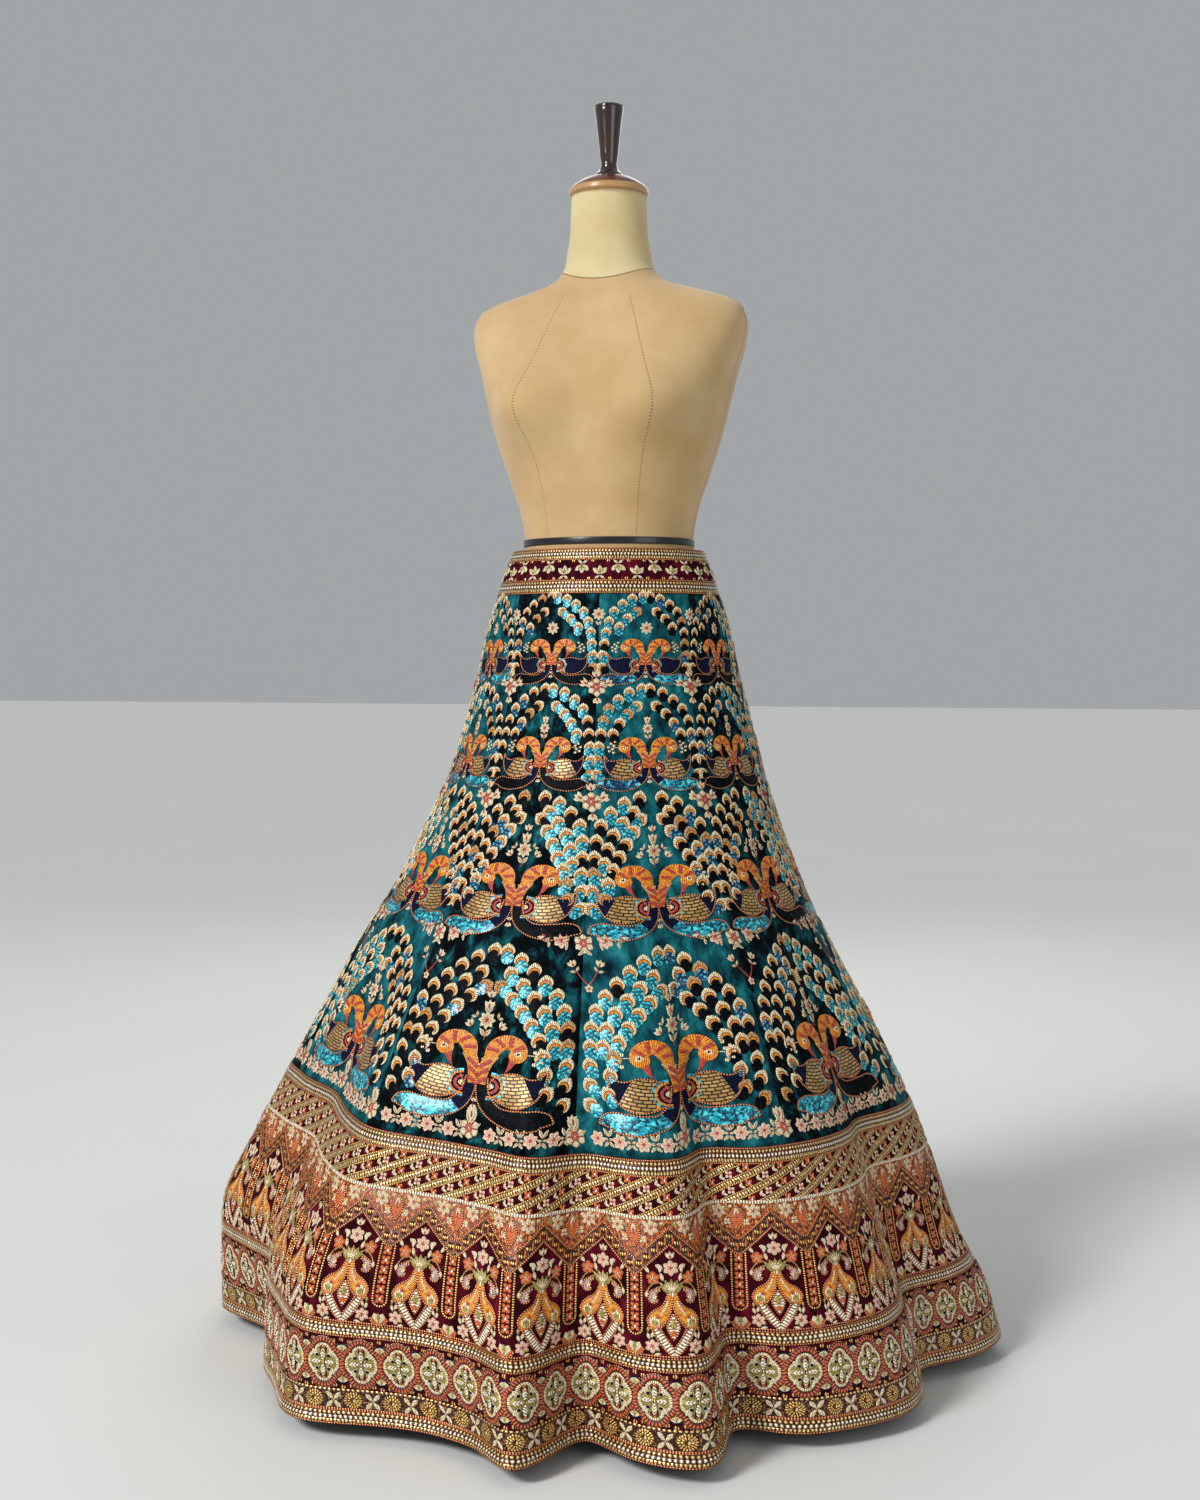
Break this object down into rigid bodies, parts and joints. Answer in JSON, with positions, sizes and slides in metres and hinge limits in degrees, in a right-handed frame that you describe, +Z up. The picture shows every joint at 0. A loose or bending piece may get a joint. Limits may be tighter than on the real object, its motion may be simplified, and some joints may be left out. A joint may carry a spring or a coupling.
{
  "type": "lehenga skirt on a limbless dress form",
  "caption": "Floor-length flared velvet lehenga skirt with peacock embroidery and a wide arched border, worn by a limbless dress form on a pole stand.",
  "frame": {"origin": "middle of the base plate's underside, on the surface that the stand rests on", "axes": "+Z up along the pole, -Y the front of the dress form and of the skirt"},
  "size_m": [1.0389, 1.054, 1.642],
  "materials": {
    "teal_velvet": "teal silk velvet, alternate gores with the nap turned, embroidered",
    "maroon_velvet": "maroon silk velvet with dense gold embroidery",
    "embroidery": "satin stitched rayon thread, beads, metal cord and sequins",
    "form_cloth": "cream cotton cover, pulled smooth",
    "black_tape": "glossy woven tape",
    "cap_wood": "stained and varnished, worn to bare wood at its rim",
    "finial_wood": "turned, dark and highly polished",
    "stand_steel": "black stoved enamel"
  },
  "bodies": {
    "root": {"kali_01": "teal_velvet", "kali_02": "teal_velvet", "kali_03": "teal_velvet", "kali_04": "teal_velvet", "kali_05": "teal_velvet", "kali_06": "teal_velvet", "kali_07": "teal_velvet", "kali_08": "teal_velvet", "kali_09": "teal_velvet", "kali_10": "teal_velvet", "border_01": "maroon_velvet", "border_02": "maroon_velvet", "border_03": "maroon_velvet", "border_04": "maroon_velvet", "border_05": "maroon_velvet", "border_06": "maroon_velvet", "border_07": "maroon_velvet", "border_08": "maroon_velvet", "border_09": "maroon_velvet", "border_10": "maroon_velvet", "waistband": "maroon_velvet", "closing_tab": "maroon_velvet", "form_body": "form_cloth", "waist_tape": "black_tape", "neck_cap": "cap_wood", "finial": "finial_wood", "pole": "stand_steel", "pole_socket": "stand_steel", "base_plate": "stand_steel"}
  },
  "joints": []
}
